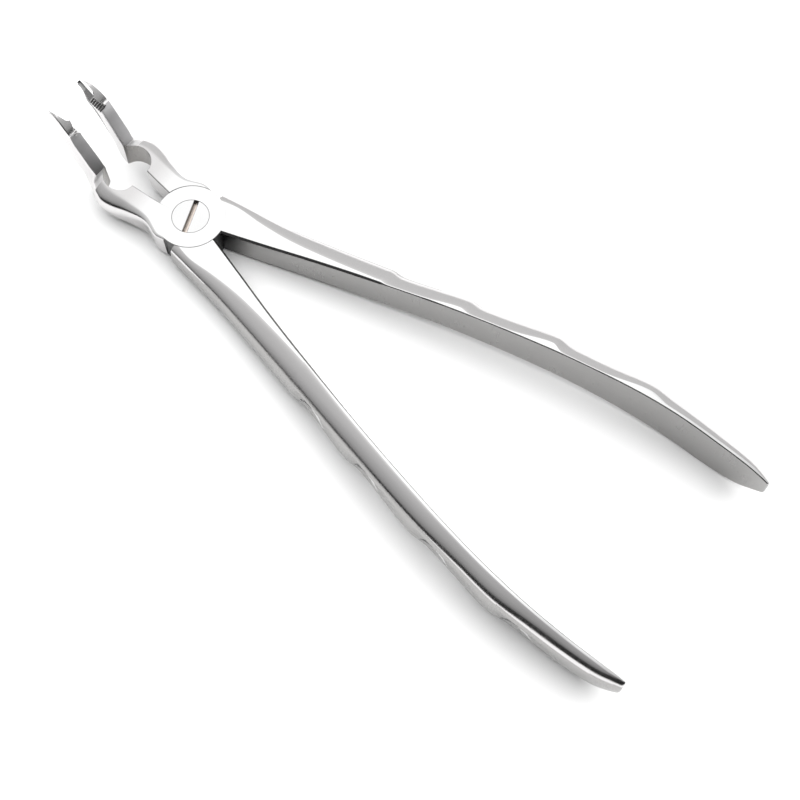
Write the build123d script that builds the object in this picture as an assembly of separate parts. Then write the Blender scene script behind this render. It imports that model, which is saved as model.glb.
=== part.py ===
from build123d import *
import os
from math import cos, hypot, pi, radians, sin, sqrt

# Extraction forceps in millimetres: two crossing steel halves on one slotted joint screw, alike but for
# their laps and for the finger grooves, which are above on the front half and below on the back half.
# X runs along the closing plane, +X towards the handles; Z is the screw's axis, with z = 0 on the flat
# underside of the joint. The front half holds the disc, the +Y handle and the -Y beak.

# Joint
JOINT_RADIUS = 8.0          # round plate of each half
JOINT_THICKNESS = 7.6       # both plates together
PLATE_GAP = 0.06            # between the two plates
RIM_GAP = 0.3               # between a plate's rim and the shoulders around it
SPLIT_Z = JOINT_THICKNESS / 2

# Joint screw
HEAD_RADIUS = 4.25
HEAD_HEIGHT = 2.0
NECK_RADIUS = 2.9           # plain part that the front half turns on
THREAD_RADIUS = 2.5
SCREW_BOTTOM = 1.0          # blind hole, so that the underside stays flat
TURN_GAP = 0.05             # radial clearance of the turning fits
SLOT_WIDTH = 1.2
SLOT_DEPTH = 1.1
SLOT_ANGLE = -68.0          # degrees from +X

# Handle stations: x, inner face y, width, half thickness, middle z, squareness of the section, and the
# share of the width that the lower edge loses
HANDLE = (
    (2.0, -0.8, 10.3, 3.80, 3.80, 5.5, 0.0),
    (8.0, 1.0, 9.5, 3.80, 3.80, 4.6, 0.0),
    (18.0, 4.1, 8.1, 4.10, 3.85, 3.7, 0.0),
    (30.0, 7.9, 7.0, 4.45, 4.10, 3.4, 0.0),
    (44.0, 11.95, 6.3, 4.75, 4.60, 3.2, 0.0),
    (62.5, 17.0, 5.75, 5.10, 5.00, 3.2, 0.05),
    (83.5, 21.8, 5.7, 5.55, 4.90, 3.2, 0.12),
    (97.0, 24.3, 5.3, 6.00, 4.30, 3.2, 0.18),
    (106.5, 25.6, 5.4, 6.40, 3.75, 3.2, 0.25),
    (115.0, 26.3, 4.75, 6.65, 3.00, 3.1, 0.36),
    (124.0, 26.5, 4.3, 6.55, 2.20, 3.0, 0.45),
    (131.0, 26.4, 3.75, 5.70, 2.45, 2.8, 0.40),
    (135.0, 26.2, 2.75, 4.00, 3.50, 2.5, 0.15),
    (137.4, 26.1, 1.9, 2.60, 4.10, 2.2, 0.0),
)
BELLY_DROP = 0.25                    # how far below the middle the handle is widest, in half thicknesses
CRESTS_ABOVE = (44.0, 62.5, 83.5, 106.5)            # x of the ridges between the front half's finger grooves
CRESTS_BELOW = (44.0, 62.5, 83.5, 106.5, 127.0)     # and between the back half's
GROOVE_DEPTH = 0.75
GROOVE_STEEP_SHARE = 0.22            # each groove drops quickly on its joint side
GROOVE_FADE = 0.5                    # share of the half thickness over which a groove runs out
GROOVE_LEAD = (0.62, 0.12)           # and how far past the widest line it starts, below and above
INNER_EDGE = 0.45                    # flat cut along the edges of the handle's inner face
OUTER_POINTS = 11
STOP_GAP = 1.0              # sections of the handle stay at least this far apart

# Head stations of a beak on the +Y side: x and z of the back edge, degrees that the section leans
# forward from it, inner y, outer y and how far the outer side tapers in below that, depth of the
# inner side, full depth, width and depth of the back bevel
SHANK = (
    (-0.9, 7.6, 90, 0.2, 8.3, 0.0, 7.3, 7.6, 0.5, 0.5),
    (-3.4, 7.6, 90, 0.7, 8.6, 0.1, 7.3, 7.6, 0.7, 0.7),
    (-8.0, 7.7, 90, 1.6, 7.4, 0.2, 6.9, 7.2, 1.2, 1.3),
    (-12.7, 8.3, 90, 2.1, 8.5, 0.4, 6.6, 6.9, 2.1, 2.3),
    (-16.2, 8.9, 90, 2.5, 9.8, 0.7, 6.6, 6.9, 3.0, 3.1),
    (-18.9, 9.35, 87, 2.8, 10.2, 0.9, 6.5, 6.8, 3.4, 3.3),
    (-20.9, 9.7, 80, 3.0, 9.4, 0.8, 6.2, 6.5, 3.0, 3.1),
)
BEAK = (
    SHANK[-1],
    (-21.8, 9.8, 66, 3.1, 8.1, 0.6, 5.8, 6.2, 1.9, 2.6),
    (-22.3, 10.3, 45, 3.1, 7.1, 0.2, 4.0, 5.3, 0.8, 1.9),
    (-22.7, 11.1, 30, 3.2, 6.8, 0.0, 3.3, 4.8, 0.5, 1.4),
    (-23.4, 12.6, 24, 3.2, 6.9, 0.0, 3.0, 4.9, 0.5, 1.3),
    (-25.2, 16.3, 24, 3.3, 6.9, 0.0, 2.5, 5.0, 0.5, 1.3),
    (-26.7, 19.3, 26, 3.4, 6.8, -0.1, 2.2, 5.5, 0.4, 1.3),
    (-27.6, 21.7, 36, 3.4, 6.6, -0.3, 2.8, 6.2, 0.4, 1.2),
    (-29.1, 23.5, 50, 3.5, 6.35, -0.4, 2.9, 6.2, 0.4, 1.2),
    (-30.8, 24.7, 58, 3.9, 6.0, -0.4, 2.4, 5.6, 0.4, 1.0),
    (-32.4, 24.9, 64, 4.2, 5.7, -0.3, 2.2, 4.3, 0.5, 0.9),
    (-33.7, 24.6, 68, 4.3, 5.6, -0.1, 1.6, 2.9, 0.5, 0.6),
    (-34.5, 24.1, 70, 4.5, 5.4, 0.0, 0.8, 1.5, 0.3, 0.3),
)
BEVEL_BULGE = 0.3                    # how far the back bevel's middle ridge stays from the square corner
FRONT_BEVEL = 0.6
HEAD_STEP = 1.3                      # distance between the sections that the head is made from
TURN_WEIGHT = 0.04                   # millimetres that a degree of turn counts for in that distance
INNER_BEVEL = 0.25
RELIEF_CENTRE = (-18.9, 2.5)         # round gap between the closed shanks
RELIEF_RADIUS = 3.75

# Hollow and toothed ramp on the inner side of the beak tip
HOLLOW_START = (-30.9, 3.1, 23.8)
HOLLOW_END = (-33.9, 3.6, 24.5)
HOLLOW_RADIUS = 2.0
RAMP_START = (-27.4, 3.3, 19.6)      # lower corner of the ramp next to the bar
RAMP_ALONG = (-3.3, 0.0, 1.3)
RAMP_ACROSS = (0.1, 1.7, 1.3)
RAMP_WIDTH = 2.1
TEETH = 6
TOOTH_PITCH = 0.58
TOOTH_DEPTH = 0.32
SIDE_ROOM = 1.0                      # how far the ramp's cutter reaches past its lower edge
TIP_ROOM = 4.0                       # how far it reaches past the teeth, towards the tip and up


def between(rows, x, column):
    """A value at x from stations that begin with x, by a curve through the neighbouring stations."""
    last = len(rows) - 1
    i = max(k for k in range(last) if rows[k][0] <= x or k == 0)

    def slope(k):
        low, high = max(k - 1, 0), min(k + 1, last)
        return (rows[high][column] - rows[low][column]) / (rows[high][0] - rows[low][0])

    span = rows[i + 1][0] - rows[i][0]
    t = (x - rows[i][0]) / span
    start = rows[i][column] * (1 + 2 * t) * (1 - t) ** 2 + slope(i) * span * t * (1 - t) ** 2
    end = rows[i + 1][column] * t * t * (3 - 2 * t) + slope(i + 1) * span * t * t * (t - 1)
    return start + end


def groove(x, crests):
    """How far the finger groove at x is cut below the ridges."""
    for low, high in zip(crests, crests[1:]):
        if low < x < high:
            share = (x - low) / (high - low)
            if share < GROOVE_STEEP_SHARE:
                return GROOVE_DEPTH * (1 - cos(pi * share / GROOVE_STEEP_SHARE)) / 2
            rest = (share - GROOVE_STEEP_SHARE) / (1 - GROOVE_STEEP_SHARE)
            return GROOVE_DEPTH * (1 + cos(pi * rest)) / 2
    return 0.0


def handle_section(x, groove_side, crests):
    """The D-shaped section at x: flat inner face, cut edges, rounded outer side."""
    inner, width, half, middle, square, taper = (between(HANDLE, x, c) for c in range(1, 7))
    cut = min(INNER_EDGE, half / 4)
    widest = middle - BELLY_DROP * half
    lead = GROOVE_LEAD[groove_side > 0]
    outer = []
    for i in range(OUTER_POINTS):
        angle = pi * (i / (OUTER_POINTS - 1) - 0.5)
        side = 1 if angle > 0 else -1
        reach = max(cos(angle), 0.0) ** (2 / square)
        rise = side * abs(sin(angle)) ** (2 / square)
        reach *= 1 - taper * (1 - rise) / 2
        share = min(max((groove_side * rise + lead) / GROOVE_FADE, 0), 1)
        wide = width - groove(x, crests) * share * share * (3 - 2 * share)
        height = widest + (half + side * (middle - widest)) * rise
        outer.append(Vector(x, inner + cut + (wide - cut) * reach, height))
    low = Vector(x, inner, middle - half + cut)
    high = Vector(x, inner, middle + half - cut)
    edges = [
        Edge.make_line(low, outer[0]),
        Edge.make_spline(outer),
        Edge.make_line(outer[-1], high),
        Edge.make_line(high, low),
    ]
    return Face(Wire(edges))


def handle(groove_side):
    """The +Y handle, from inside the joint to its blunt end; groove_side is 1 above, -1 below."""
    crests = CRESTS_ABOVE if groove_side > 0 else CRESTS_BELOW
    groove_stops = []
    for low, high in zip(crests, crests[1:]):
        groove_stops += [low + (high - low) * share for share in (0.0, 0.11, 0.22, 0.48, 0.74)]
    groove_stops.append(crests[-1])
    plain_stops = [row[0] for row in HANDLE if min(abs(row[0] - x) for x in groove_stops) > STOP_GAP]
    stops = sorted(plain_stops + groove_stops)
    return loft([handle_section(x, groove_side, crests) for x in stops])


def head_section(back_x, back_z, lean, inner, outer, taper, inner_depth, depth, bevel_y, bevel_depth):
    """A nine-sided section of the shank or beak, leaning forward from its back edge."""
    back = Vector(back_x, 0, back_z)
    forward = Vector(-cos(radians(lean)), 0, -sin(radians(lean)))
    front = min(FRONT_BEVEL, (outer - inner) / 3, depth / 3)
    edge = min(INNER_BEVEL, (outer - inner) / 6, inner_depth / 4)
    corners = (
        (inner + edge, 0),
        (outer - bevel_y, 0),
        (outer - bevel_y * BEVEL_BULGE, bevel_depth * BEVEL_BULGE),
        (outer, bevel_depth),
        (outer - taper, depth - front),
        (outer - taper - front, depth),
        (inner + front, inner_depth + 0.8 * (depth - inner_depth)),
        (inner, inner_depth),
        (inner, edge),
    )
    points = [back + Vector(0, y, 0) + forward * w for y, w in corners]
    return Face(Wire.make_polygon(points, close=True))


def head_sections(stations):
    """Evenly spaced sections along the shank or beak."""
    rows = [(0.0,) + stations[0]]
    for before, row in zip(stations, stations[1:]):
        step = hypot(row[0] - before[0], row[1] - before[1]) + TURN_WEIGHT * abs(row[2] - before[2])
        rows.append((rows[-1][0] + step,) + row)
    length = rows[-1][0]
    count = round(length / HEAD_STEP)
    places = [length * i / count for i in range(count + 1)]
    return [head_section(*(between(rows, place, c) for c in range(1, 11))) for place in places]


def hollow():
    """Cutter of the long hollow in a beak tip."""
    start = Vector(*HOLLOW_START)
    end = Vector(*HOLLOW_END)
    line = end - start
    run = Plane(origin=start, z_dir=line) * Pos(0, 0, line.length / 2)
    run *= Cylinder(HOLLOW_RADIUS, line.length)
    return run + Pos(*start) * Sphere(HOLLOW_RADIUS) + Pos(*end) * Sphere(HOLLOW_RADIUS)


def ramp():
    """Cutter of the toothed ramp at the foot of the hollow; its teeth run across the ramp."""
    along = Vector(*RAMP_ALONG)
    across = Vector(*RAMP_ACROSS)
    length = TEETH * TOOTH_PITCH
    frame = Plane(origin=RAMP_START, x_dir=along, z_dir=along.cross(across) * -1)
    below = Box(length + TIP_ROOM, RAMP_WIDTH + 2 * SIDE_ROOM, TIP_ROOM)
    below = Pos((length + TIP_ROOM) / 2, SIDE_ROOM - RAMP_WIDTH / 2, TIP_ROOM / 2) * below
    tooth_side = TOOTH_DEPTH * sqrt(2)
    tooth = Rot(0, 45, 0) * Box(tooth_side, RAMP_WIDTH + SIDE_ROOM, tooth_side)
    tooth = Pos(0, (SIDE_ROOM - RAMP_WIDTH) / 2, 0) * tooth
    cutter = below
    for i in range(TEETH):
        cutter += Pos((i + 0.5) * TOOTH_PITCH, 0, 0) * tooth
    return frame * cutter


def head():
    """Shank and beak on the +Y side."""
    shank = loft(head_sections(SHANK))
    beak = loft(head_sections(BEAK))
    relief = Pos(*RELIEF_CENTRE, SPLIT_Z) * Cylinder(RELIEF_RADIUS, 4 * JOINT_THICKNESS)
    return shank + beak - relief - hollow() - ramp()


def plate():
    """Round plate at the joint, over the full thickness."""
    return Pos(0, 0, SPLIT_Z) * Cylinder(JOINT_RADIUS, JOINT_THICKNESS)


def half_blank(groove_side):
    """One half before its lap is cut: handle on the +Y side, beak on the -Y side."""
    return handle(groove_side) + plate() + mirror(head(), about=Plane.XZ)


def lap(low, high):
    """Cutter that leaves only one plate inside the joint circle, between two heights."""
    return Pos(0, 0, (low + high) / 2) * Cylinder(JOINT_RADIUS + RIM_GAP, high - low)


def front_half():
    """Upper plate, with the recess for the screw's head; finger grooves above."""
    half = half_blank(1) - lap(-JOINT_THICKNESS, SPLIT_Z + PLATE_GAP / 2)
    neck_hole = Pos(0, 0, SPLIT_Z) * Cylinder(NECK_RADIUS + TURN_GAP, 2 * JOINT_THICKNESS)
    recess = Pos(0, 0, JOINT_THICKNESS) * Cylinder(HEAD_RADIUS + TURN_GAP, 2 * (HEAD_HEIGHT + PLATE_GAP))
    return half - neck_hole - recess


def back_half():
    """Lower plate, with the blind hole that holds the screw; finger grooves below."""
    half = mirror(half_blank(-1), about=Plane.XZ) - lap(SPLIT_Z - PLATE_GAP / 2, 3 * JOINT_THICKNESS)
    height = JOINT_THICKNESS - SCREW_BOTTOM
    return half - Pos(0, 0, SCREW_BOTTOM + height / 2) * Cylinder(THREAD_RADIUS, height)


def joint_screw():
    """Slotted screw: flat head, plain neck, threaded end drawn at its outer size."""
    neck_top = JOINT_THICKNESS - HEAD_HEIGHT
    thread_height = SPLIT_Z - SCREW_BOTTOM
    head_part = Pos(0, 0, JOINT_THICKNESS - HEAD_HEIGHT / 2) * Cylinder(HEAD_RADIUS, HEAD_HEIGHT)
    neck = Pos(0, 0, (SPLIT_Z + neck_top) / 2) * Cylinder(NECK_RADIUS, neck_top - SPLIT_Z)
    thread = Pos(0, 0, SCREW_BOTTOM + thread_height / 2) * Cylinder(THREAD_RADIUS, thread_height)
    slot = Rot(0, 0, SLOT_ANGLE) * Box(3 * HEAD_RADIUS, SLOT_WIDTH, 2 * SLOT_DEPTH)
    slot = Pos(0, 0, JOINT_THICKNESS) * slot
    return head_part + neck + thread - slot


os.makedirs("parts", exist_ok=True)
for make in (front_half, back_half, joint_screw):
    export_step(make(), f"parts/{make.__name__}.step")
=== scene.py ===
import bpy
import bmesh
from math import atan, cos, hypot, pi, radians, sin
from mathutils import Matrix, Vector

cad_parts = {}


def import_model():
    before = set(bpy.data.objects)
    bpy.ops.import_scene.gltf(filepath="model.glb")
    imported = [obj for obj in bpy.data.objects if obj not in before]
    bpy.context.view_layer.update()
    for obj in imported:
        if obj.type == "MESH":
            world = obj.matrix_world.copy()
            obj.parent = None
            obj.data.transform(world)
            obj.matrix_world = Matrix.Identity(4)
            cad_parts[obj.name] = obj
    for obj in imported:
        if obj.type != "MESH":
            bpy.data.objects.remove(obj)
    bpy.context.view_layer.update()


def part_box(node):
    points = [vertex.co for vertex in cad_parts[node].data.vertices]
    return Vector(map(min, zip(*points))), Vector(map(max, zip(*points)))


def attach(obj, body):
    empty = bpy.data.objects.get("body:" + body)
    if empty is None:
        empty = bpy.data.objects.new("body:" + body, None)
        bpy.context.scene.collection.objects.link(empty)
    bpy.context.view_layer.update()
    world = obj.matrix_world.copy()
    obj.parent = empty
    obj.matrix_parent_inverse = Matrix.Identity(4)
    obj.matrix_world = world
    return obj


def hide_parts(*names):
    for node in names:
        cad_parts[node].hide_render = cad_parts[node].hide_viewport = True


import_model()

MM = 0.001

# ---------------------------------------------------------------- sizes, in millimetres

JOINT_RADIUS = 8.0
JOINT_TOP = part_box("joint_screw")[1].z / MM
SPLIT_Z = JOINT_TOP / 2
PLATE_GAP = 0.06
RIM_GAP = 0.05
RIM_CHAMFER = 0.07

HEAD_RADIUS = 4.25
HEAD_HEIGHT = 2.0
NECK_RADIUS = 2.9
THREAD_RADIUS = 2.5
SCREW_BOTTOM = 1.0
THREAD_CHAMFER = 0.3
HEAD_CHAMFER = 0.04
RECESS_CHAMFER = 0.03
TURN_GAP = 0.03
SLOT_WIDTH = 1.1
SLOT_DEPTH = 1.1
SLOT_LIP = 0.08
SLOT_ANGLE = -68.0
CUT_ROOM = 0.3                       # how far the recess's cutter reaches past its rim
SLOT_ROOM = 1.0                      # and the slot's cutter above the head
SLOT_REACH = 1.5                     # half the length of the slot's cutter, in head radii

# Handle stations: x, inner face y, width, half thickness, middle z, squareness, share of the width that
# the lower edge loses
HANDLE = (
    (2.0, -0.8, 10.3, 3.80, 3.80, 5.5, 0.0),
    (8.0, 1.0, 9.5, 3.80, 3.80, 4.6, 0.0),
    (18.0, 4.1, 8.1, 4.10, 3.85, 3.7, 0.0),
    (30.0, 7.9, 7.0, 4.45, 4.10, 3.4, 0.0),
    (44.0, 11.95, 6.3, 4.75, 4.60, 3.2, 0.0),
    (62.5, 17.0, 5.75, 5.10, 5.00, 3.2, 0.05),
    (83.5, 21.8, 5.7, 5.55, 4.90, 3.2, 0.12),
    (97.0, 24.3, 5.3, 6.00, 4.30, 3.2, 0.18),
    (106.5, 25.6, 5.4, 6.40, 3.75, 3.2, 0.25),
    (115.0, 26.3, 4.75, 6.65, 3.00, 3.1, 0.36),
    (124.0, 26.5, 4.3, 6.55, 2.20, 3.0, 0.45),
    (131.0, 26.4, 3.75, 5.70, 2.45, 2.8, 0.40),
    (135.0, 26.2, 2.75, 4.00, 3.50, 2.5, 0.15),
    (137.4, 26.1, 1.9, 2.60, 4.10, 2.2, 0.0),
)
CAD_MARGIN = 0.04                    # keeps the outer curve inside the CAD's
BELLY_DROP = 0.25                    # how far below the middle the handle is widest, in half thicknesses
# Polished band along the top inner edge: x and width, up to the first finger groove
BAND = ((2.0, 8.0), (7.0, 7.6), (13.5, 5.6), (20.7, 3.7), (27.3, 2.5), (36.0, 1.5), (44.0, 0.85))
BAND_PEAKS = (0.9, 1.1, 1.7, 1.7)    # width of the band at each ridge
BAND_THIN = 0.32                     # and in the grooves between them
BAND_END = 0.75                      # and beyond the last ridge
BAND_FADE = 5.0                      # distance over which it narrows to that
BAND_SWELL = 3                       # power that keeps the wide parts short
BAND_LIMIT = 0.8                     # widest share of the handle that the band takes
BAND_TIP_SHARE = 0.35                # share of its width that is left at the handle's end
BAND_TIP_LENGTH = 4.0                # and the distance over which it shrinks to that

# Finger grooves lie above the outer side's middle on the front half, and below it on the back half
ABOVE, BELOW = 1, -1
CRESTS = {                           # x of the ridges between the grooves
    ABOVE: (44.0, 62.5, 83.5, 106.5),
    BELOW: (44.0, 62.5, 83.5, 106.5, 127.0),
}
GROOVE_DEPTH = 0.75
GROOVE_STEEP_SHARE = 0.22            # each groove drops quickly on its joint side
GROOVE_LEAD = {ABOVE: 0.12, BELOW: 0.62}    # rise past the widest line at which a groove starts
GROOVE_FADE = {ABOVE: 0.5, BELOW: 0.22}     # and the rise over which it comes in from there
PAINTED_GLINT_START = 3.0                   # painted glint, dark then bright, where a groove below starts: distance from the ridge
PAINTED_GLINT_LENGTH = 8.0
PAINTED_GLINT_LOW = 0.12                    # its height at both ends, how far it arches up, and its half width
PAINTED_GLINT_ARCH = 0.38
PAINTED_GLINT_HALF_WIDTH = 0.11
SIDE_SHADE_TOP = 0.76                      # rise up to which the outer side is rougher steel painted darker as shade
CREASE_ANGLE = 70.0                  # where round the outer curve the band's far edge lies
EDGE_JOINT = 0.5                     # cut along the top inner edge near the joint
EDGE_END = 0.22                      # and near the end
EDGE_FADE = (40.0, 60.0)             # x between which it changes
EDGE_LIMIT = 0.6                     # largest share of the band that the cut takes
EDGE_BOTTOM = 0.45                   # cut along the bottom inner edge
EDGE_BOTTOM_LIMIT = 0.25             # and its largest share of the half thickness
END_ROUND = 0.5
END_RINGS = 6
ROW_STEP = 0.3
INNER_POINTS = 5
OUTER_POINTS = 30
BOTTOM_POINTS = 26

# Head stations: back edge x and z, lean, inner y, outer y, taper, inner depth, depth, bevel y, bevel depth
SHANK = (
    (-0.9, 7.6, 90, 0.2, 8.3, 0.0, 7.3, 7.6, 0.5, 0.5),
    (-3.4, 7.6, 90, 0.7, 8.6, 0.1, 7.3, 7.6, 0.7, 0.7),
    (-8.0, 7.7, 90, 1.6, 7.4, 0.2, 6.9, 7.2, 1.2, 1.3),
    (-12.7, 8.3, 90, 2.1, 8.5, 0.4, 6.6, 6.9, 2.1, 2.3),
    (-16.2, 8.9, 90, 2.5, 9.8, 0.7, 6.6, 6.9, 3.0, 3.1),
    (-18.9, 9.35, 87, 2.8, 10.2, 0.9, 6.5, 6.8, 3.4, 3.3),
    (-20.9, 9.7, 80, 3.0, 9.4, 0.8, 6.2, 6.5, 3.0, 3.1),
)
BEAK = (
    SHANK[-1],
    (-21.8, 9.8, 66, 3.1, 8.1, 0.6, 5.8, 6.2, 1.9, 2.6),
    (-22.3, 10.3, 45, 3.1, 7.1, 0.2, 4.0, 5.3, 0.8, 1.9),
    (-22.7, 11.1, 30, 3.2, 6.8, 0.0, 3.3, 4.8, 0.5, 1.4),
    (-23.4, 12.6, 24, 3.2, 6.9, 0.0, 3.0, 4.9, 0.5, 1.3),
    (-25.2, 16.3, 24, 3.3, 6.9, 0.0, 2.5, 5.0, 0.5, 1.3),
    (-26.7, 19.3, 26, 3.4, 6.8, -0.1, 2.2, 5.5, 0.4, 1.3),
    (-27.6, 21.7, 36, 3.4, 6.6, -0.3, 2.8, 6.2, 0.4, 1.2),
    (-29.1, 23.5, 50, 3.5, 6.35, -0.4, 2.9, 6.2, 0.4, 1.2),
    (-30.8, 24.7, 58, 3.9, 6.0, -0.4, 2.4, 5.6, 0.4, 1.0),
    (-32.4, 24.9, 64, 4.2, 5.7, -0.3, 2.2, 4.3, 0.5, 0.9),
    (-33.7, 24.6, 68, 4.3, 5.6, -0.1, 1.6, 2.9, 0.5, 0.6),
    (-34.5, 24.1, 70, 4.5, 5.4, 0.0, 0.8, 1.5, 0.3, 0.3),
)
HEAD_STEP = 0.2
TURN_WEIGHT = 0.04                   # millimetres that a degree of turn counts for
CORNER_ROUND = 0.35
CORNER_POINTS = 7
CORNER_LIMIT = 0.45                  # largest share of a side that a corner's rounding takes
BEVEL_ROUND = 1.5
BEVEL_BULGE = 0.3                    # how far the back bevel's middle ridge stays from the square corner
ROOT_START = -20.9                   # fillet between shank and bar, painted pale as a highlight, by its back edge's x
BAR_START, BAR_END = -22.4, -27.3    # the straight brushed bar
FRONT_BEVEL = 0.6
FRONT_BEVEL_LIMIT = 1 / 3            # and its largest share of the section's width and depth
FRONT_SLANT = 0.8                    # share of the way from inner depth to depth that the bevel makes
RELIEF_CENTRE = (-18.9, 2.5)
RELIEF_RADIUS = 3.75
# The long hollow in a beak's tip: the ends of its middle line
HOLLOW_START = (-30.9, 3.1, 23.8)
HOLLOW_END = (-33.9, 3.6, 24.5)
HOLLOW_RADIUS = 2.0
HOLLOW_STEPS = 64
HOLLOW_END_STEPS = 16
# The toothed ramp: where it starts and the directions along and across its teeth
RAMP_START = (-27.4, 3.3, 19.6)
RAMP_ALONG = (-3.3, 0.0, 1.3)
RAMP_ACROSS = (0.1, 1.7, 1.3)
RAMP_WIDTH = 2.1                     # how far the ramp reaches across from there
RAMP_ROOM = 2.0                      # how far its cutter reaches past the beak's inner side
TEETH = 6
TOOTH_PITCH = 0.58
TOOTH_DEPTH = 0.32
TOOTH_CREST = 0.03
TIP_ROOM = 4.0                       # and past the last tooth and above the ramp
ROUND_STEPS = 144
SHARP_ANGLE = 28                     # edges sharper than this, in degrees, aren't shaded smooth

# The forceps lies on its handle ends and its joint, so the floor slopes a little in the part's frame
REST_JOINT = (-8.0, -0.06)           # x and z of the two places where it lies
REST_END = (125.0, -4.42)

# Index of each finish in the halves' list of materials
SATIN, BRIGHT, BRUSHED, TURNED, BAR, SHANK_TOP_SHEEN, PAINTED_SHADE, TIP, SIDE_SHADE, ROOT_GLINT = range(10)
FACE, SLOT_FLOOR, SLOT_WALL_SHADE = range(3)      # and in the screw's


# ---------------------------------------------------------------- materials

LINE_DETAIL = 3.0
LINE_ROUGHNESS = 0.6
CLOUD_SCALE = 0.16                   # soft patches per millimetre
CLOUD_DETAIL = 4.0
NOISE_RANGE = (0.3, 0.7)             # where most of the noise lies
TINT = 0.93                          # darkest share of the colour, between the grain's lines
SOFT_EDGE = 0.12                     # millimetres over which edges are shaded round
SOFT_EDGE_SAMPLES = 4
MIX_SHARE, MIX_LOW, MIX_HIGH = 0, 6, 7      # a Mix node's inputs for colours, by number
MIX_COLOUR = 2                              # and its output


def node(tree, kind, inputs, **properties):
    """Adds a shader node; inputs maps a name or number to a value or to another node's output."""
    made = tree.nodes.new(kind)
    for name, value in properties.items():
        setattr(made, name, value)
    for name, value in inputs.items():
        if isinstance(value, bpy.types.NodeSocket):
            tree.links.new(value, made.inputs[name])
        else:
            made.inputs[name].default_value = value
    return made


def maths(tree, operation, *values):
    values = dict(enumerate(values))
    return node(tree, "ShaderNodeMath", values, operation=operation).outputs[0]


def blend(tree, share, low, high):
    """The colour low where share is 0, and high where it is 1."""
    inputs = {MIX_SHARE: share, MIX_LOW: low, MIX_HIGH: high}
    return node(tree, "ShaderNodeMix", inputs, data_type="RGBA").outputs[MIX_COLOUR]


def opaque(colour):
    return tuple(colour) + (1.0,)


def steel(name, colour, rough, rough_swing, grain, stretch, grain_height, fade=None):
    """Steel with a directional grain: grain in lines per millimetre, stretch its pull along X, Y, Z.

    fade = (x at full colour, x where it has turned into the other colour, that colour).
    """
    made = bpy.data.materials.new(name)
    made.use_nodes = True
    tree = made.node_tree
    shader = tree.nodes["Principled BSDF"]
    shader.inputs["Metallic"].default_value = 1.0
    place = node(tree, "ShaderNodeTexCoord", {}).outputs["Object"]
    stretched = node(tree, "ShaderNodeMapping", {"Vector": place, "Scale": stretch}).outputs["Vector"]
    line_inputs = {
        "Vector": stretched, "Scale": grain / MM, "Detail": LINE_DETAIL, "Roughness": LINE_ROUGHNESS,
    }
    lines = node(tree, "ShaderNodeTexNoise", line_inputs).outputs["Fac"]
    cloud_inputs = {"Vector": place, "Scale": CLOUD_SCALE / MM, "Detail": CLOUD_DETAIL}
    cloud = node(tree, "ShaderNodeTexNoise", cloud_inputs).outputs["Fac"]

    mixed = maths(tree, "MULTIPLY_ADD", cloud, 0.5, maths(tree, "MULTIPLY", lines, 0.5))
    swing = node(tree, "ShaderNodeMapRange", {
        "Value": mixed, "From Min": NOISE_RANGE[0], "From Max": NOISE_RANGE[1],
        "To Min": rough - rough_swing, "To Max": rough + rough_swing,
    })
    tree.links.new(swing.outputs["Result"], shader.inputs["Roughness"])

    shown = blend(tree, lines, opaque(c * TINT for c in colour), opaque(colour))
    if fade:
        start, end, other = fade
        x = node(tree, "ShaderNodeSeparateXYZ", {0: place}).outputs["X"]
        fade_inputs = {"Value": x, "From Min": start * MM, "From Max": end * MM}
        share = node(tree, "ShaderNodeMapRange", fade_inputs, interpolation_type="SMOOTHSTEP")
        shown = blend(tree, share.outputs["Result"], shown, opaque(other))
    tree.links.new(shown, shader.inputs["Base Color"])

    soft = node(tree, "ShaderNodeBevel", {"Radius": SOFT_EDGE * MM}, samples=SOFT_EDGE_SAMPLES)
    bump = node(tree, "ShaderNodeBump", {
        "Strength": 1.0, "Distance": grain_height * MM, "Normal": soft.outputs["Normal"], "Height": lines,
    })
    tree.links.new(bump.outputs["Normal"], shader.inputs["Normal"])
    return made


GREY = (0.66, 0.65, 0.65)
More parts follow.
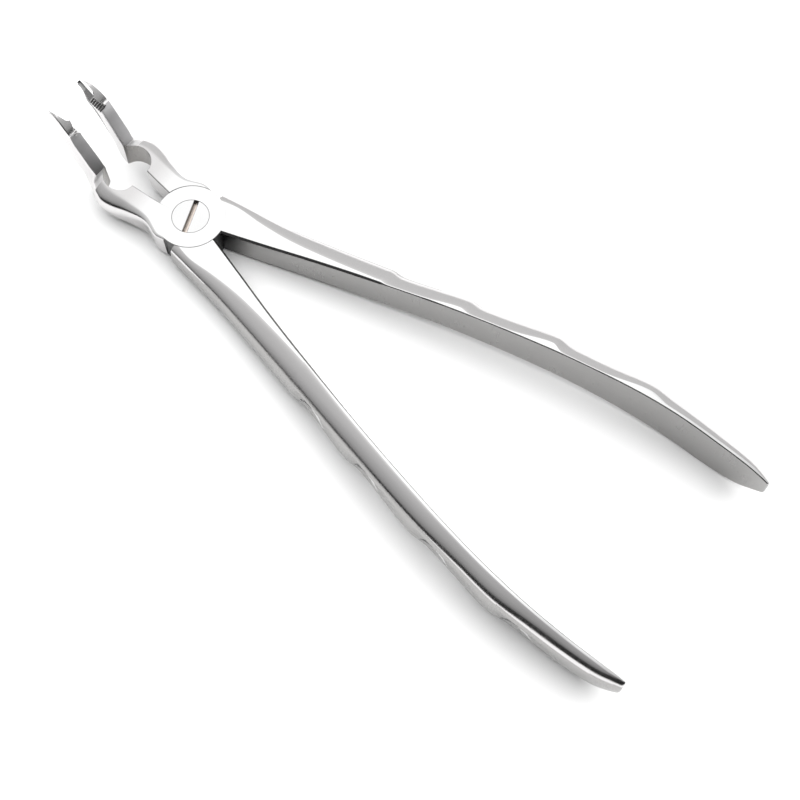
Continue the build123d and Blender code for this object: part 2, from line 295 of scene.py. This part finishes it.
# painted shadow: near-black colour that stands in for the deep shade in the crotch by the joint
CROTCH_SHADE = (0.06, 0.06, 0.06)
steels = [
    steel("steel_satin", GREY, 0.19, 0.04, 3.0, (1.0, 1.0, 1.0), 0.002),
    steel("steel_bright", (0.90, 0.90, 0.90), 0.18, 0.04, 2.5, (0.3, 1.0, 1.0), 0.001),
    # brushed steel whose colour fades to the painted crotch shadow from x 16 to x 9, and stays black
    # nearer the joint and on the head
    steel("steel_brushed_crotch_shade", (0.36, 0.355, 0.35), 0.32, 0.08, 5.0, (1.0, 1.0, 0.06), 0.006,
          (16.0, 9.0, CROTCH_SHADE)),
    steel("steel_turned", (0.36, 0.35, 0.34), 0.30, 0.06, 4.0, (1.0, 1.0, 0.2), 0.004),
    steel("steel_bar", (0.42, 0.415, 0.42), 0.36, 0.06, 5.0, (1.0, 0.06, 1.0), 0.012),
    # painted highlight: the shank's tops are near white by the joint and fade to the satin grey from x -7
    # to x -15
    steel("steel_shank_sheen", (0.90, 0.90, 0.90), 0.22, 0.04, 3.0, (1.0, 1.0, 1.0), 0.002,
          (-7.0, -15.0, GREY)),
    # painted shade: near-black steel for the plate's rim, the screw head's recess and the dark half of the
    # painted glints
    steel("steel_painted_shade", (0.08, 0.08, 0.08), 0.35, 0.06, 4.0, (1.0, 1.0, 1.0), 0.002),
    steel("steel_tip", (0.82, 0.81, 0.81), 0.22, 0.04, 3.0, (1.0, 1.0, 1.0), 0.002),
    # painted shade: darker, rougher steel on the outer side's lower part, standing in for the shadowed
    # floor that it reflects
    steel("steel_side_shade", (0.37, 0.365, 0.36), 0.26, 0.05, 3.0, (1.0, 1.0, 1.0), 0.003),
    # painted highlight: pale, rough steel on the fillet between shank and bar
    steel("steel_root_glint", (0.95, 0.94, 0.94), 0.55, 0.05, 3.0, (1.0, 1.0, 1.0), 0.002),
]
screw_steels = [
    steel("screw_face", (0.86, 0.86, 0.86), 0.24, 0.05, 2.5, (0.3, 1.0, 1.0), 0.001),
    steel("screw_slot", (0.95, 0.84, 0.76), 0.34, 0.06, 4.0, (1.0, 0.3, 1.0), 0.004),
    # painted shade: the slot's walls and ends are near black, standing in for the shade inside the slot
    steel("screw_slot_wall_shade", (0.10, 0.09, 0.08), 0.30, 0.06, 4.0, (1.0, 0.3, 1.0), 0.004),
]


# ---------------------------------------------------------------- mesh helpers

def new_object(name, mesh, materials):
    made = bpy.data.objects.new(name, mesh)
    bpy.context.scene.collection.objects.link(made)
    for material in materials:
        made.data.materials.append(material)
    return made


def skin(name, rings, finishes, caps, materials):
    """A closed body through rings of points.

    finishes has a material index for each place round each ring, and caps one for each end.
    """
    count = len(rings[0])
    points = [Vector(p) * MM for ring in rings for p in ring]
    faces = []
    kinds = []
    for row in range(len(rings) - 1):
        for i in range(count):
            j = (i + 1) % count
            a, b = row * count, (row + 1) * count
            faces.append((a + i, a + j, b + j, b + i))
            kinds.append(finishes[row][i])
    faces.append(tuple(reversed(range(count))))
    faces.append(tuple((len(rings) - 1) * count + i for i in range(count)))
    kinds += caps
    mesh = bpy.data.meshes.new(name)
    mesh.from_pydata(points, [], faces)
    mesh.polygons.foreach_set("material_index", kinds)
    made = new_object(name, mesh, materials)
    face_outwards(made)
    return made


def face_outwards(thing):
    work = bmesh.new()
    work.from_mesh(thing.data)
    bmesh.ops.recalc_face_normals(work, faces=work.faces)
    work.to_mesh(thing.data)
    work.free()


def lathe(name, profile, finishes, materials, centre=(0.0, 0.0), steps=ROUND_STEPS):
    """A solid of revolution about Z: profile is (radius, z) from one end of the axis to the other."""
    turns = [2 * pi * i / steps for i in range(steps)]
    x, y = centre
    rings = [[(x + r * cos(turn), y + r * sin(turn), z) for turn in turns] for r, z in profile]
    rows = [[finish] * steps for finish in finishes[1:-1]]
    return skin(name, rings, rows, (finishes[0], finishes[-1]), materials)


def cylinder(name, radius, low, high, finish, centre=(0.0, 0.0)):
    return lathe(name, ((radius, low), (radius, high)), (finish,) * 3, steels, centre)


def combine(target, tool, operation):
    """Adds tool to target or cuts it away, and removes it from the scene."""
    step = target.modifiers.new(operation, "BOOLEAN")
    step.operation = operation
    step.solver = "EXACT"
    step.object = tool
    bpy.context.view_layer.update()
    shape = bpy.data.meshes.new_from_object(target.evaluated_get(bpy.context.evaluated_depsgraph_get()))
    target.modifiers.clear()
    target.data = shape
    bpy.data.objects.remove(tool)


def mirrored(thing, name):
    """A copy of a body, mirrored in the XZ plane."""
    copy = new_object(name, thing.data.copy(), ())
    copy.data.transform(Matrix.Diagonal((1, -1, 1, 1)))
    face_outwards(copy)
    return copy


def smooth(thing):
    thing.data.shade_smooth()
    thing.data.set_sharp_from_angle(angle=radians(SHARP_ANGLE))


# ---------------------------------------------------------------- curves through stations

def between(value, low, high):
    """How far value is from low to high, kept between 0 and 1."""
    return min(max((value - low) / (high - low), 0), 1)


def eased(share):
    """The same share, with a slow start and end."""
    return share * share * (3 - 2 * share)


def through(rows, x, column):
    """A station value at x, by the curve through the neighbouring stations."""
    last = len(rows) - 1
    i = 0
    while i < last - 1 and rows[i + 1][0] <= x:
        i += 1

    def slope(k):
        low, high = max(k - 1, 0), min(k + 1, last)
        if k == last:
            low = last - 1
        if k == 0:
            high = 1
        return (rows[high][column] - rows[low][column]) / (rows[high][0] - rows[low][0])

    span = rows[i + 1][0] - rows[i][0]
    t = (x - rows[i][0]) / span
    start = rows[i][column] * (1 + 2 * t) * (1 - t) ** 2 + slope(i) * span * t * (1 - t) ** 2
    end = rows[i + 1][column] * t * t * (3 - 2 * t) + slope(i + 1) * span * t * t * (t - 1)
    return start + end


def ridge_share(x, side):
    """1 on the ridges between the finger grooves, 0 at the grooves' deepest line."""
    crests = CRESTS[side]
    for low, high in zip(crests, crests[1:]):
        if low < x < high:
            share = (x - low) / (high - low)
            if share < GROOVE_STEEP_SHARE:
                return (1 + cos(pi * share / GROOVE_STEEP_SHARE)) / 2
            rest = (share - GROOVE_STEEP_SHARE) / (1 - GROOVE_STEEP_SHARE)
            return (1 - cos(pi * rest)) / 2
    return 1.0


def band_width(x, side):
    """Width of the polished band at x; it swells at the ridges where the grooves are above."""
    if x <= BAND[-1][0]:
        return through(BAND, x, 1)
    if side == BELOW:
        return BAND_END
    crests = CRESTS[ABOVE]
    for k, (low, high) in enumerate(zip(crests, crests[1:])):
        if low < x < high:
            early = x < low + (high - low) * GROOVE_STEEP_SHARE
            peak = BAND_PEAKS[k] if early else BAND_PEAKS[k + 1]
            return BAND_THIN + (peak - BAND_THIN) * ridge_share(x, side) ** BAND_SWELL
    share = eased(between(x, crests[-1], crests[-1] + BAND_FADE))
    return BAND_PEAKS[-1] + (BAND_END - BAND_PEAKS[-1]) * share


# ---------------------------------------------------------------- handle

def groove_at(x, rise, side):
    """Depth of the finger grooves; rise is -1 at the bottom, 0 at the widest line and 1 at the top."""
    lead, fade = GROOVE_LEAD[side], GROOVE_FADE[side]
    reach = eased(between(side * rise, -lead, fade - lead))
    return GROOVE_DEPTH * (1 - ridge_share(x, side)) * reach


def outer_finish(x, rise, side):
    """Painted shade, as darker and rougher steel, below the smooth upper part; a groove below starts with
    a painted glint, a curved streak that is dark then bright.
    """
    if rise > SIDE_SHADE_TOP:
        return SATIN
    if side == BELOW:
        for crest in CRESTS[BELOW][:-1]:
            share = (x - crest - PAINTED_GLINT_START) / PAINTED_GLINT_LENGTH
            if not 0 < share < 1:
                continue
            arch = sin(pi * share)
            if abs(rise - PAINTED_GLINT_LOW - PAINTED_GLINT_ARCH * arch) < PAINTED_GLINT_HALF_WIDTH * arch ** 0.5:
                # painted reflection: the glint's first half is dark, its second half bright
                return PAINTED_SHADE if share < 0.5 else BRIGHT
    return SIDE_SHADE


def quarter_round(angle, square):
    """Reach outwards and rise, both 0 to 1, at an angle round a quarter of a squarish oval."""
    return max(cos(angle), 0.0) ** (2 / square), sin(angle) ** (2 / square)


def handle_ring(x, side, inset):
    """Points round the handle at x, and the finish of the strip after each of them."""
    inner, width, half, middle, square, taper = (through(HANDLE, x, c) for c in range(1, 7))
    width -= CAD_MARGIN
    top = middle + half
    widest = middle - BELLY_DROP * half
    tip_share = BAND_TIP_SHARE + (1 - BAND_TIP_SHARE) * between(HANDLE[-1][0] - x, 0, BAND_TIP_LENGTH)
    band = min(band_width(x, side), width * BAND_LIMIT) * tip_share
    cut = EDGE_JOINT + (EDGE_END - EDGE_JOINT) * between(x, *EDGE_FADE)
    cut = min(cut, band * EDGE_LIMIT)
    low_cut = min(EDGE_BOTTOM, half * EDGE_BOTTOM_LIMIT)

    points = []
    finishes = []
    for i in range(INNER_POINTS):
        share = i / INNER_POINTS
        points.append((0.0, middle - half + low_cut + (2 * half - low_cut - cut) * share))
        finishes.append(BRUSHED)
    points += [(0.0, top - cut), (cut, top), ((cut + band) / 2, top)]
    finishes += [SATIN, BRIGHT, BRIGHT]

    # Outer side: where its reach starts from, reach, rise and the height that a rise of 1 stands for
    outer = []
    crease = radians(CREASE_ANGLE)
    crease_reach, crease_rise = quarter_round(crease, square)
    for i in range(OUTER_POINTS):
        reach, rise = quarter_round(crease * (1 - i / OUTER_POINTS), square)
        outer.append((band, (reach - crease_reach) / (1 - crease_reach), rise / crease_rise, top - widest))
    for i in range(BOTTOM_POINTS + 1):
        reach, rise = quarter_round(pi / 2 * i / BOTTOM_POINTS, square)
        outer.append((low_cut, reach, -rise, widest - middle + half))
    for start, reach, rise, height in outer:
        reach *= 1 - taper * (1 - rise) / 2
        wide = width - groove_at(x, rise, side)
        points.append((start + (wide - start) * reach, widest + height * rise))
        finishes.append(outer_finish(x, rise, side))

    centre = width / 2
    squeeze_y = 1 - inset / centre
    squeeze_z = 1 - inset / half
    ring = []
    for s, z in points:
        ring.append((x, inner + centre + (s - centre) * squeeze_y, middle + (z - middle) * squeeze_z))
    return ring, finishes


def handle(side):
    """The +Y handle, from inside the joint to its rounded end; side is where its finger grooves are."""
    start, end = HANDLE[0][0], HANDLE[-1][0]
    length = end - END_ROUND - start
    count = int(length / ROW_STEP)
    places = [(start + length * i / count, 0.0) for i in range(count + 1)]
    for i in range(1, END_RINGS + 1):
        turn = pi / 2 * i / END_RINGS
        places.append((end - END_ROUND * (1 - sin(turn)), END_ROUND * (1 - cos(turn))))
    rings, finishes = zip(*(handle_ring(x, side, inset) for x, inset in places))
    return skin("handle", rings, finishes, (SATIN, SATIN), steels)


# ---------------------------------------------------------------- head

def by_length(rows):
    """The stations with their distance along the head put in front of each."""
    measured = [(0.0,) + rows[0]]
    for before, row in zip(rows, rows[1:]):
        step = hypot(row[0] - before[0], row[1] - before[1]) + TURN_WEIGHT * abs(row[2] - before[2])
        measured.append((measured[-1][0] + step,) + row)
    return measured


def head_finishes(back_x):
    """Finish of each side of a section of the shank or beak, from its back round to its inner side."""
    if back_x > ROOT_START:
        top, bevel, inner_side = SHANK_TOP_SHEEN, SHANK_TOP_SHEEN, SATIN
    elif back_x > BAR_START:
        top, bevel, inner_side = ROOT_GLINT, ROOT_GLINT, SATIN
    elif back_x > BAR_END:
        top, bevel, inner_side = BAR, SHANK_TOP_SHEEN, SATIN
    else:
        top, bevel, inner_side = TIP, TIP, TIP
    return top, bevel, SATIN, SATIN, SATIN, BRUSHED, BRUSHED, inner_side


def head_ring(back_x, back_z, lean, inner, outer, taper, inner_depth, depth, bevel_y, bevel_depth):
    """Points round a section of the shank or beak, with rounded corners."""
    back = Vector((back_x, 0, back_z))
    forward = Vector((-cos(radians(lean)), 0, -sin(radians(lean))))
    front = min(FRONT_BEVEL, (outer - inner) * FRONT_BEVEL_LIMIT, depth * FRONT_BEVEL_LIMIT)
    corners = (
        (inner, 0),
        (outer - bevel_y, 0),
        (outer - bevel_y * BEVEL_BULGE, bevel_depth * BEVEL_BULGE),
        (outer, bevel_depth),
        (outer - taper, depth - front),
        (outer - taper - front, depth),
        (inner + front, inner_depth + FRONT_SLANT * (depth - inner_depth)),
        (inner, inner_depth),
    )
    rounds = (CORNER_ROUND,) + (BEVEL_ROUND,) * 3 + (CORNER_ROUND,) * 4
    kinds = head_finishes(back_x)
    flat = []
    finishes = []
    for i, corner in enumerate(corners):
        here = Vector(corner)
        before = Vector(corners[i - 1]) - here
        after = Vector(corners[(i + 1) % len(corners)]) - here
        r = min(rounds[i], before.length * CORNER_LIMIT, after.length * CORNER_LIMIT)
        start = here + before.normalized() * r
        end = here + after.normalized() * r
        for k in range(CORNER_POINTS):
            t = k / (CORNER_POINTS - 1)
            flat.append(start * (1 - t) ** 2 + here * 2 * t * (1 - t) + end * t * t)
            finishes.append(kinds[i - 1] if k < CORNER_POINTS // 2 else kinds[i])
    ring = [back + Vector((0, y, 0)) + forward * w for y, w in flat]
    return ring, finishes


def head():
    """Shank and beak on the +Y side, without its hollows."""
    rings = []
    finishes = []
    for stations in (SHANK, BEAK):
        rows = by_length(stations)
        count = int(rows[-1][0] / HEAD_STEP)
        first = 1 if rings else 0          # the shank's last section is also the beak's first
        for i in range(first, count + 1):
            place = rows[-1][0] * i / count
            ring, kinds = head_ring(*(through(rows, place, c) for c in range(1, 11)))
            rings.append(ring)
            finishes.append(kinds)
    return skin("head", rings, finishes, (SATIN, SATIN), steels)


def hollow():
    """Cutter of the long hollow: a capsule."""
    start, end = Vector(HOLLOW_START), Vector(HOLLOW_END)
    line = end - start
    turns = [pi / 2 * i / HOLLOW_END_STEPS for i in range(1, HOLLOW_END_STEPS)]
    profile = [(HOLLOW_RADIUS * sin(turn), -HOLLOW_RADIUS * cos(turn)) for turn in turns]
    profile += [(HOLLOW_RADIUS, 0), (HOLLOW_RADIUS, line.length)]
    profile += [(HOLLOW_RADIUS * cos(turn), line.length + HOLLOW_RADIUS * sin(turn)) for turn in turns]
    cutter = lathe("hollow", profile, (BRIGHT,) * (len(profile) + 1), steels, steps=HOLLOW_STEPS)
    lean = line.to_track_quat("Z", "Y").to_matrix().to_4x4()
    cutter.data.transform(Matrix.Translation(start * MM) @ lean)
    return cutter


def ramp():
    """Cutter of the toothed ramp: a saw-toothed prism."""
    along = Vector(RAMP_ALONG).normalized()
    up = -along.cross(Vector(RAMP_ACROSS)).normalized()
    side = up.cross(along)
    length = TEETH * TOOTH_PITCH
    outline = [(0.0, -TOOTH_CREST)]
    for i in range(TEETH):
        outline.append(((i + 0.5) * TOOTH_PITCH, -TOOTH_DEPTH))
        outline.append(((i + 1) * TOOTH_PITCH, -TOOTH_CREST))
    outline += [(length + TIP_ROOM, 0.0), (length + TIP_ROOM, TIP_ROOM), (0.0, TIP_ROOM)]
    origin = Vector(RAMP_START)
    rings = []
    for reach in (-RAMP_WIDTH, RAMP_ROOM):
        rings.append([origin + along * a + up * u + side * reach for a, u in outline])
    return skin("ramp", rings, [[SATIN] * len(outline)], (SATIN, SATIN), steels)


# ---------------------------------------------------------------- halves and screw

def plate():
    """Round plate with lightly cut rims; its upright rim is painted near black as shade."""
    r, c = JOINT_RADIUS, RIM_CHAMFER
    profile = ((r - c, 0), (r, c), (r, JOINT_TOP - c), (r - c, JOINT_TOP))
    return lathe("plate", profile, (BRIGHT, TURNED, PAINTED_SHADE, TURNED, BRIGHT), steels)


def half_blank(groove_side):
    """Handle on the +Y side, plate, beak on the -Y side."""
    beak = head()
    relief = cylinder("relief", RELIEF_RADIUS, -JOINT_TOP, 2 * JOINT_TOP, TURNED, RELIEF_CENTRE)
    combine(beak, relief, "DIFFERENCE")
    combine(beak, hollow(), "DIFFERENCE")
    combine(beak, ramp(), "DIFFERENCE")
    blank = mirrored(beak, "blank")
    bpy.data.objects.remove(beak)
    combine(blank, handle(groove_side), "UNION")
    combine(blank, plate(), "UNION")
    return blank


def front_half():
    """Upper plate, with the recess for the screw's head."""
    half = half_blank(ABOVE)
    half.name = "forceps_front"
    lap_top = SPLIT_Z + PLATE_GAP / 2
    combine(half, cylinder("lap", JOINT_RADIUS + RIM_GAP, -JOINT_TOP, lap_top, TURNED), "DIFFERENCE")
    floor_z = JOINT_TOP - HEAD_HEIGHT - PLATE_GAP
    neck, wide = NECK_RADIUS + TURN_GAP, HEAD_RADIUS + TURN_GAP
    rim_z = JOINT_TOP - RECESS_CHAMFER
    profile = (
        (neck, 0),
        (neck, floor_z),
        (wide, floor_z),
        (wide, rim_z),
        (wide + CUT_ROOM, rim_z + CUT_ROOM),
    )
    # painted shade: the recess round the screw's head is lined with near-black steel
    combine(half, lathe("recess", profile, (PAINTED_SHADE,) * (len(profile) + 1), steels), "DIFFERENCE")
    return half


def back_half():
    """Lower plate, with the blind hole that holds the screw."""
    blank = half_blank(BELOW)
    half = mirrored(blank, "forceps_back")
    bpy.data.objects.remove(blank)
    lap_low = SPLIT_Z - PLATE_GAP / 2
    combine(half, cylinder("lap", JOINT_RADIUS + RIM_GAP, lap_low, 3 * JOINT_TOP, TURNED), "DIFFERENCE")
    combine(half, cylinder("bore", THREAD_RADIUS, SCREW_BOTTOM, JOINT_TOP, TURNED), "DIFFERENCE")
    return half


def joint_screw():
    """Slotted screw with a flat head and lightly cut edges."""
    neck_top = JOINT_TOP - HEAD_HEIGHT
    profile = (
        (THREAD_RADIUS - THREAD_CHAMFER, SCREW_BOTTOM),
        (THREAD_RADIUS, SCREW_BOTTOM + THREAD_CHAMFER),
        (THREAD_RADIUS, SPLIT_Z),
        (NECK_RADIUS, SPLIT_Z),
        (NECK_RADIUS, neck_top),
        (HEAD_RADIUS, neck_top),
        (HEAD_RADIUS, JOINT_TOP - HEAD_CHAMFER),
        (HEAD_RADIUS - HEAD_CHAMFER, JOINT_TOP),
    )
    screw = lathe("screw", profile, (FACE,) * (len(profile) + 1), screw_steels)
    half_length, half_width = SLOT_REACH * HEAD_RADIUS, SLOT_WIDTH / 2
    across = (
        (-half_width - SLOT_LIP, SLOT_ROOM),
        (-half_width - SLOT_LIP, 0.0),
        (-half_width, -SLOT_LIP),
        (-half_width, -SLOT_DEPTH),
        (half_width, -SLOT_DEPTH),
        (half_width, -SLOT_LIP),
        (half_width + SLOT_LIP, 0.0),
        (half_width + SLOT_LIP, SLOT_ROOM),
    )
    kinds = (FACE, FACE, SLOT_WALL_SHADE, SLOT_FLOOR, SLOT_WALL_SHADE, FACE, FACE, FACE)
    rings = [[(x, y, z + JOINT_TOP) for y, z in across] for x in (-half_length, half_length)]
    slot = skin("slot", rings, [kinds], (SLOT_WALL_SHADE, SLOT_WALL_SHADE), screw_steels)
    slot.data.transform(Matrix.Rotation(radians(SLOT_ANGLE), 4, "Z"))
    combine(screw, slot, "DIFFERENCE")
    return screw


pieces = (
    (front_half(), "front", "front_half", "forceps_steel"),
    (back_half(), "back", "back_half", "forceps_steel"),
    (joint_screw(), "back", "joint_screw", "screw_steel"),
)
for piece, body, cad_node, slot_name in pieces:
    smooth(piece)
    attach(piece, body)
    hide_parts(cad_node)


# ---------------------------------------------------------------- floor, light, camera

FLOOR_HALF = 40.0                    # metres from the middle to each side
FLOOR_GREY = 0.71
FLOOR_ROUGHNESS = 0.9

CAMERA_PLACE = Vector((0.1370, -0.0983, 0.2826))
CAMERA_AIM = Vector((0.0641, -0.0051, 0.0038))
LENS = 63.0
SENSOR_WIDTH = 36.0
CLIP_START = 0.01

VIEWER_SIDE = (0.616, -0.787, 0.0)
VIEWER_RIGHT = (0.787, 0.617, 0.0)
UP = (0.0, 0.0, 1.0)
SOFTBOX = (-0.24, 0.307, 0.92)
# Brightness of the tent by angle from overhead: negative at the back, positive on the viewer's side
TENT = (
    (-1.57, 0.80), (-0.9, 0.85), (-0.1, 0.75), (0.15, 0.60),
    (0.55, 0.46), (0.85, 0.32), (1.0, 0.03), (1.57, 0.01),
)
# What the soft box adds, by how far a direction points to its middle
SOFTBOX_GLOW = ((0.88, 0.0), (0.975, 0.45), (1.0, 0.5))
# What the tent's brightness is multiplied by, by how far a direction points to a side
TENT_SIDES = ((0.0, 1.0), (0.35, 1.0), (0.8, 0.9), (1.0, 0.7))

OVERHEAD = (-0.15, 0.45, 0.88)
OVERHEAD_SPREAD = 110                # degrees
OVERHEAD_STRENGTH = 5.8


def floor():
    s = FLOOR_HALF
    mesh = bpy.data.meshes.new("floor")
    mesh.from_pydata([(-s, -s, 0), (s, -s, 0), (s, s, 0), (-s, s, 0)], [], [(0, 1, 2, 3)])
    paper = bpy.data.materials.new("paper")
    paper.use_nodes = True
    shader = paper.node_tree.nodes["Principled BSDF"]
    shader.inputs["Base Color"].default_value = opaque((FLOOR_GREY,) * 3)
    shader.inputs["Roughness"].default_value = FLOOR_ROUGHNESS
    made = new_object("floor", mesh, [paper])
    slope = (REST_JOINT[1] - REST_END[1]) / (REST_END[0] - REST_JOINT[0])
    made.rotation_euler.y = atan(slope)
    made.location.z = (REST_JOINT[1] + REST_JOINT[0] * slope) * MM


def camera():
    data = bpy.data.cameras.new("camera")
    data.lens = LENS
    data.sensor_width = SENSOR_WIDTH
    data.clip_start = CLIP_START
    made = bpy.data.objects.new("camera", data)
    made.location = CAMERA_PLACE
    made.rotation_euler = (CAMERA_AIM - CAMERA_PLACE).to_track_quat("-Z", "Y").to_euler()
    bpy.context.scene.collection.objects.link(made)
    bpy.context.scene.camera = made


def shade(tree, value, levels):
    """A grey ramp: levels are (value, brightness) from the lowest to the highest value."""
    low, high = levels[0][0], levels[-1][0]
    share = node(tree, "ShaderNodeMapRange", {"Value": value, "From Min": low, "From Max": high})
    made = node(tree, "ShaderNodeValToRGB", {"Fac": share.outputs["Result"]})
    stops = made.color_ramp
    stops.interpolation = "EASE"
    for stop, level in zip(stops.elements, (levels[0][1], levels[-1][1])):
        stop.color = opaque((level,) * 3)
    for place, level in levels[1:-1]:
        stops.elements.new((place - low) / (high - low)).color = opaque((level,) * 3)
    return made.outputs["Color"]


def along(tree, direction, axis):
    """How far a direction points along an axis, -1 to 1."""
    made = node(tree, "ShaderNodeVectorMath", {0: direction, 1: axis}, operation="DOT_PRODUCT")
    return made.outputs["Value"]


def world():
    """A light tent: a soft box overhead, a pale back, a grey front that is dark low down, grey sides."""
    made = bpy.data.worlds.new("tent")
    bpy.context.scene.world = made
    made.use_nodes = True
    tree = made.node_tree
    direction = node(tree, "ShaderNodeTexCoord", {}).outputs["Generated"]
    turn = maths(tree, "ARCTAN2", along(tree, direction, VIEWER_SIDE), along(tree, direction, UP))
    tent = shade(tree, turn, TENT)
    box = shade(tree, along(tree, direction, SOFTBOX), SOFTBOX_GLOW)
    sides = shade(tree, maths(tree, "ABSOLUTE", along(tree, direction, VIEWER_RIGHT)), TENT_SIDES)
    level = maths(tree, "MULTIPLY", maths(tree, "ADD", tent, box), sides)
    tree.links.new(level, tree.nodes["Background"].inputs["Color"])


def floor_light():
    """Overhead light for the floor and its soft shadows; polished steel shows the tent instead."""
    data = bpy.data.lights.new("overhead", "SUN")
    data.angle = radians(OVERHEAD_SPREAD)
    data.energy = OVERHEAD_STRENGTH
    made = bpy.data.objects.new("overhead", data)
    made.rotation_euler = (-Vector(OVERHEAD)).to_track_quat("-Z", "Y").to_euler()
    made.visible_glossy = False
    bpy.context.scene.collection.objects.link(made)


floor()
camera()
world()
floor_light()
bpy.context.scene.view_settings.view_transform = "Standard"
